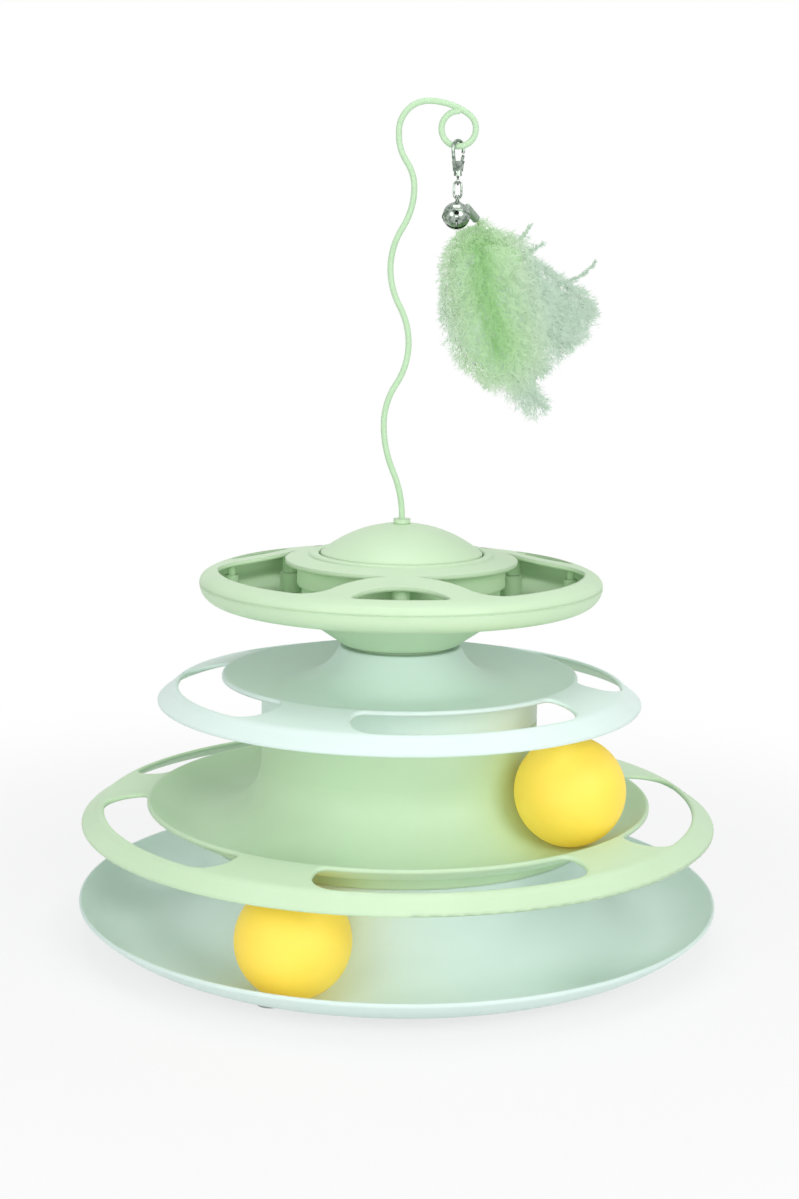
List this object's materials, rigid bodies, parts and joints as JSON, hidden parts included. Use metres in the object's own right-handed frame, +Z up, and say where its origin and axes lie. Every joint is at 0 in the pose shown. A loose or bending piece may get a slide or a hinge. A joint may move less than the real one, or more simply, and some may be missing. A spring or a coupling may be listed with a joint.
{
  "type": "cat ball track toy",
  "caption": "Stacked round track tower for cats: balls roll in open channels under paw slots, and a bent wire wand on a turning dome dangles a bell and feather from a clasp.",
  "frame": {"origin": "on the floor under the tower's axis", "axes": "+Z up along the tower's axis, -Y towards the viewer of the picture, +X to the viewer's right, the side the wand's loop hangs on"},
  "size_m": [0.245, 0.245, 0.3142],
  "materials": {
    "green": "satin moulded pale green plastic",
    "mint": "satin moulded pale mint plastic",
    "yellow": "matt yellow hollow plastic",
    "foot_rubber": "soft pale rubber",
    "white_plastic": "moulded white plastic",
    "steel": "plain zinc-plated steel",
    "wand_coat": "pale green plastic-coated spring wire",
    "collar_plastic": "satin pale green plastic",
    "chrome": "bright nickel plate",
    "ferrule_metal": "dull grey crimped metal",
    "quill_horn": "dyed horn quill",
    "plume_down": "dyed downy feather"
  },
  "bodies": {
    "base": {"base_tray": "mint", "base_feet": "foot_rubber"},
    "lower_ball": {"lower_ball": "yellow"},
    "lower_tier": {"lower_track": "green"},
    "upper_ball": {"upper_ball": "yellow"},
    "middle_tier": {"middle_track": "mint"},
    "top_disc": {"top_bowl": "green", "top_cover": "green", "cover_screws": "steel"},
    "wand": {"dome_cap": "green", "dome_retainer": "white_plastic", "dome_screw": "steel", "wand_collar": "collar_plastic", "wand_wire": "wand_coat"},
    "clasp": {"clasp_body": "chrome", "clasp_pin": "steel", "gate_spring": "steel"},
    "gate": {"clasp_gate": "chrome"},
    "swivel": {"swivel_eye": "chrome"},
    "link": {"chain_link": "chrome"},
    "bell": {"bell_top": "chrome", "bell_bottom": "chrome"},
    "pellet": {"bell_pellet": "steel"},
    "feather": {"feather_ferrule": "ferrule_metal", "feather_quill": "quill_horn", "feather_plume": "plume_down"}
  },
  "joints": [
    {"name": "lower_ball_roll", "type": "hinge", "parent": "base", "child": "lower_ball", "pos_m": [0, 0, 0], "axis": [0, 0, 1], "continuous": true},
    {"name": "lower_tier_lift", "type": "slide", "parent": "base", "child": "lower_tier", "axis": [0, 0, 1], "range_m": [0, 0.04]},
    {"name": "upper_ball_roll", "type": "hinge", "parent": "lower_tier", "child": "upper_ball", "pos_m": [0, 0, 0], "axis": [0, 0, 1], "continuous": true},
    {"name": "middle_tier_lift", "type": "slide", "parent": "lower_tier", "child": "middle_tier", "axis": [0, 0, 1], "range_m": [0, 0.04]},
    {"name": "top_disc_lift", "type": "slide", "parent": "middle_tier", "child": "top_disc", "axis": [0, 0, 1], "range_m": [0, 0.04]},
    {"name": "dome_turn", "type": "hinge", "parent": "top_disc", "child": "wand", "pos_m": [0, 0, 0.14], "axis": [0, 0, 1], "continuous": true},
    {"name": "clasp_swing", "type": "hinge", "parent": "wand", "child": "clasp", "pos_m": [0.0188, 0, 0.2971], "axis": [1, 0, 0], "range_deg": [-40, 40]},
    {"name": "gate_open", "type": "hinge", "parent": "clasp", "child": "gate", "pos_m": [0.01957, 0.00092, 0.29048], "axis": [0.766, -0.6428, 0], "range_deg": [0, 25], "stiffness_Nm_per_rad": 0.002, "springref_deg": -11.46},
    {"name": "swivel_turn", "type": "hinge", "parent": "clasp", "child": "swivel", "pos_m": [0.0188, 0, 0.286], "axis": [0, 0, 1], "range_deg": [-60, 50]},
    {"name": "link_swing", "type": "hinge", "parent": "swivel", "child": "link", "pos_m": [0.0188, 0, 0.28447], "axis": [1, 0, 0], "range_deg": [-25, 25]},
    {"name": "bell_swing", "type": "hinge", "parent": "link", "child": "bell", "pos_m": [0.0188, 0, 0.27851], "axis": [1, 0, 0], "range_deg": [-40, 0]},
    {"name": "pellet_rattle", "type": "slide", "parent": "bell", "child": "pellet", "axis": [0, 0.4695, 0.8829], "range_m": [0, 0.0055]},
    {"name": "feather_swing", "type": "hinge", "parent": "link", "child": "feather", "pos_m": [0.0188, 0, 0.27851], "axis": [1, 0, 0], "range_deg": [0, 40]}
  ]
}
